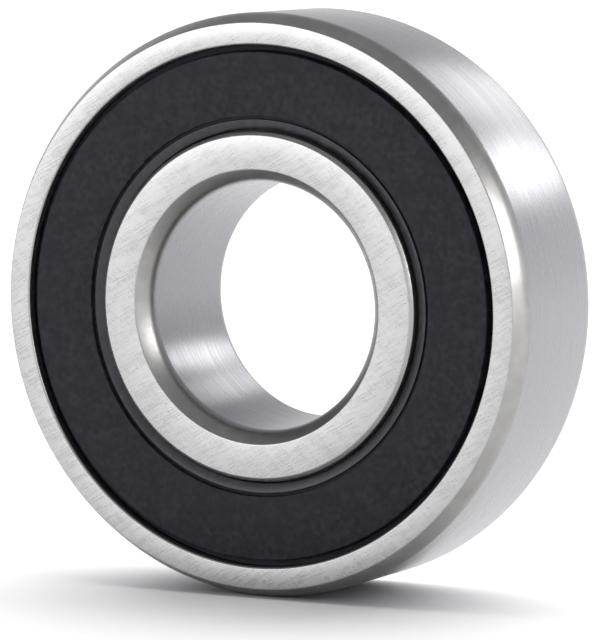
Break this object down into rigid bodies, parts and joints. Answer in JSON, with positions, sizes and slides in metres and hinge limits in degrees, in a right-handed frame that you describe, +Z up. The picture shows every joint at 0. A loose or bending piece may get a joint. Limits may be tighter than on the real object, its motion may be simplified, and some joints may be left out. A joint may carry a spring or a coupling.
{
  "type": "ball bearing",
  "caption": "Single-row deep groove ball bearing with a rubber contact seal on each side, a riveted steel cage and free-turning inner ring.",
  "frame": {"origin": "centre of the bore, half-way between the two ring faces", "axes": "+Y along the bore towards the back face, +Z up with the bearing standing on its rim, the front face towards -Y"},
  "size_m": [0.04, 0.012, 0.04],
  "materials": {
    "ring_steel": "ground",
    "ball_steel": "polished",
    "cage_steel": "pressed sheet",
    "insert_steel": "pressed sheet",
    "seal_rubber": "matte"
  },
  "bodies": {
    "outer": {"outer_ring": "ring_steel", "front_seal_rubber": "seal_rubber", "front_seal_insert": "insert_steel", "back_seal_rubber": "seal_rubber", "back_seal_insert": "insert_steel"},
    "inner": {"inner_ring": "ring_steel"},
    "cage": {"cage_front_half": "cage_steel", "cage_back_half": "cage_steel", "cage_rivet_1": "cage_steel", "cage_rivet_2": "cage_steel", "cage_rivet_3": "cage_steel", "cage_rivet_4": "cage_steel", "cage_rivet_5": "cage_steel", "cage_rivet_6": "cage_steel", "cage_rivet_7": "cage_steel", "cage_rivet_8": "cage_steel"},
    "ball_1": {"ball_1": "ball_steel"},
    "ball_2": {"ball_2": "ball_steel"},
    "ball_3": {"ball_3": "ball_steel"},
    "ball_4": {"ball_4": "ball_steel"},
    "ball_5": {"ball_5": "ball_steel"},
    "ball_6": {"ball_6": "ball_steel"},
    "ball_7": {"ball_7": "ball_steel"},
    "ball_8": {"ball_8": "ball_steel"}
  },
  "joints": [
    {"name": "inner_spin", "type": "hinge", "parent": "outer", "child": "inner", "pos_m": [0, 0, 0], "axis": [0, 1, 0], "continuous": true},
    {"name": "cage_orbit", "type": "hinge", "parent": "outer", "child": "cage", "pos_m": [0, 0, 0], "axis": [0, 1, 0], "continuous": true},
    {"name": "ball_1_spin", "type": "hinge", "parent": "cage", "child": "ball_1", "pos_m": [0.01425, 0, 0], "axis": [0, 1, 0], "continuous": true},
    {"name": "ball_2_spin", "type": "hinge", "parent": "cage", "child": "ball_2", "pos_m": [0.01008, 0, 0.01008], "axis": [0, 1, 0], "continuous": true},
    {"name": "ball_3_spin", "type": "hinge", "parent": "cage", "child": "ball_3", "pos_m": [0, 0, 0.01425], "axis": [0, 1, 0], "continuous": true},
    {"name": "ball_4_spin", "type": "hinge", "parent": "cage", "child": "ball_4", "pos_m": [-0.01008, 0, 0.01008], "axis": [0, 1, 0], "continuous": true},
    {"name": "ball_5_spin", "type": "hinge", "parent": "cage", "child": "ball_5", "pos_m": [-0.01425, 0, 0], "axis": [0, 1, 0], "continuous": true},
    {"name": "ball_6_spin", "type": "hinge", "parent": "cage", "child": "ball_6", "pos_m": [-0.01008, 0, -0.01008], "axis": [0, 1, 0], "continuous": true},
    {"name": "ball_7_spin", "type": "hinge", "parent": "cage", "child": "ball_7", "pos_m": [0, 0, -0.01425], "axis": [0, 1, 0], "continuous": true},
    {"name": "ball_8_spin", "type": "hinge", "parent": "cage", "child": "ball_8", "pos_m": [0.01008, 0, -0.01008], "axis": [0, 1, 0], "continuous": true}
  ],
  "couplings": [
    {"joint": "cage_orbit", "follows": "inner_spin", "ratio": 0.38163},
    {"joint": "ball_1_spin", "follows": "inner_spin", "ratio": -1.9937},
    {"joint": "ball_2_spin", "follows": "inner_spin", "ratio": -1.9937},
    {"joint": "ball_3_spin", "follows": "inner_spin", "ratio": -1.9937},
    {"joint": "ball_4_spin", "follows": "inner_spin", "ratio": -1.9937},
    {"joint": "ball_5_spin", "follows": "inner_spin", "ratio": -1.9937},
    {"joint": "ball_6_spin", "follows": "inner_spin", "ratio": -1.9937},
    {"joint": "ball_7_spin", "follows": "inner_spin", "ratio": -1.9937},
    {"joint": "ball_8_spin", "follows": "inner_spin", "ratio": -1.9937}
  ]
}
